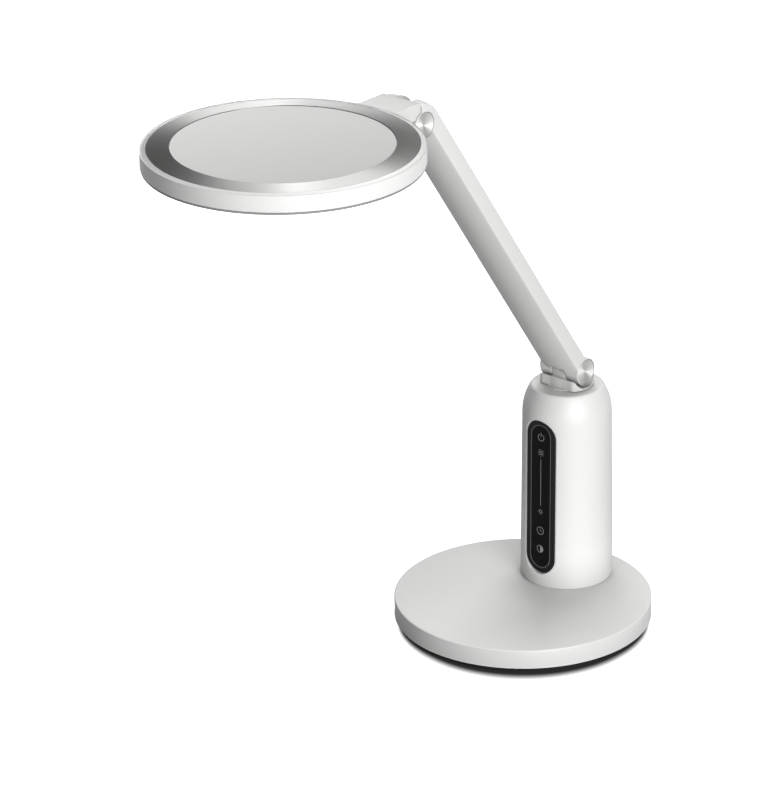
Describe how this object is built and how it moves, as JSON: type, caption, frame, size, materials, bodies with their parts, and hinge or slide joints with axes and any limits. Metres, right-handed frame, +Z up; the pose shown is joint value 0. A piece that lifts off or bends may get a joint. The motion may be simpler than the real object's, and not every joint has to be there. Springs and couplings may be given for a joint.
{
  "type": "led desk lamp",
  "caption": "Desk lamp with a round weighted base, a column with a touch panel, a hinged swing arm and a flat round light head.",
  "frame": {"origin": "middle of the flat underside of the foot pad, on the table", "axes": "+Z up, the lamp faces -Y, the hinges turn about X"},
  "size_m": [0.2, 0.4639, 0.4649],
  "materials": {
    "base_silver": "satin silver-grey coat",
    "black_plastic": "fine matt moulding",
    "foam": "closed-cell foam sheet",
    "weight_iron": "sawn and painted",
    "column_white": "polished white",
    "touch_black": "gloss black window",
    "circuit_board": "green solder mask",
    "plain_steel": "zinc plated",
    "nylon": "natural nylon",
    "arm_silver": "satin silver paint",
    "rim_white": "polished white",
    "turned_metal": "spun, with fine rings",
    "cover_white": "fine matt",
    "plain_aluminium": "mill finish",
    "reflector_white": "matt white film",
    "clear_acrylic": "clear, dotted on one side",
    "led_strip": "white strip with yellow chips",
    "opal": "opal",
    "bezel_silver": "satin grey"
  },
  "bodies": {
    "base": {"base_cover": "base_silver", "bottom_tray": "black_plastic", "tray_screw_1": "plain_steel", "tray_screw_2": "plain_steel", "tray_screw_3": "plain_steel", "tray_screw_4": "plain_steel", "foot_pad": "foam", "base_weight": "weight_iron", "column_screw_1": "plain_steel", "column_screw_2": "plain_steel", "column_screw_3": "plain_steel", "dc_jack": "black_plastic", "column_shell": "column_white", "panel_frame": "black_plastic", "touch_lens": "touch_black", "touch_board": "circuit_board", "driver_board": "circuit_board", "touch_board_screw_1": "plain_steel", "touch_board_screw_2": "plain_steel", "driver_board_screw_1": "plain_steel", "driver_board_screw_2": "plain_steel", "top_plate": "plain_steel", "top_plate_screw_1": "plain_steel", "top_plate_screw_2": "plain_steel", "top_plate_screw_3": "plain_steel", "swivel_bush": "nylon", "pad_washer": "nylon"},
    "swivel": {"swivel_bracket": "arm_silver", "swivel_shaft": "plain_steel", "wave_washer": "plain_steel", "swivel_nut": "plain_steel"},
    "arm": {"arm_tube": "arm_silver", "lower_fork": "arm_silver", "upper_fork": "arm_silver", "lower_hinge_bolt": "plain_steel", "lower_hinge_nut": "plain_steel", "lower_friction_washer_left": "nylon", "lower_friction_washer_right": "nylon", "lower_cap_left": "turned_metal", "lower_cap_right": "turned_metal", "upper_hinge_bolt": "plain_steel", "upper_hinge_nut": "plain_steel", "upper_friction_washer_left": "nylon", "upper_friction_washer_right": "nylon", "upper_cap_left": "turned_metal", "upper_cap_right": "turned_metal"},
    "head": {"neck": "arm_silver", "head_rim": "rim_white", "neck_screw_1": "plain_steel", "neck_screw_2": "plain_steel", "trim_ring": "turned_metal", "top_cover": "cover_white", "backing_plate": "plain_aluminium", "reflector_sheet": "reflector_white", "light_guide": "clear_acrylic", "led_strip": "led_strip", "diffuser": "opal", "bezel_ring": "bezel_silver"}
  },
  "joints": [
    {"name": "column_swivel", "type": "hinge", "parent": "base", "child": "swivel", "pos_m": [0, 0.0545, 0.1788], "axis": [0, 0, 1], "range_deg": [-90, 90]},
    {"name": "arm_tilt", "type": "hinge", "parent": "swivel", "child": "arm", "pos_m": [0, 0.0545, 0.1926], "axis": [1, 0, 0], "range_deg": [-45, 30]},
    {"name": "head_tilt", "type": "hinge", "parent": "arm", "child": "head", "pos_m": [0, -0.13388, 0.44524], "axis": [1, 0, 0], "range_deg": [0, 90]}
  ]
}
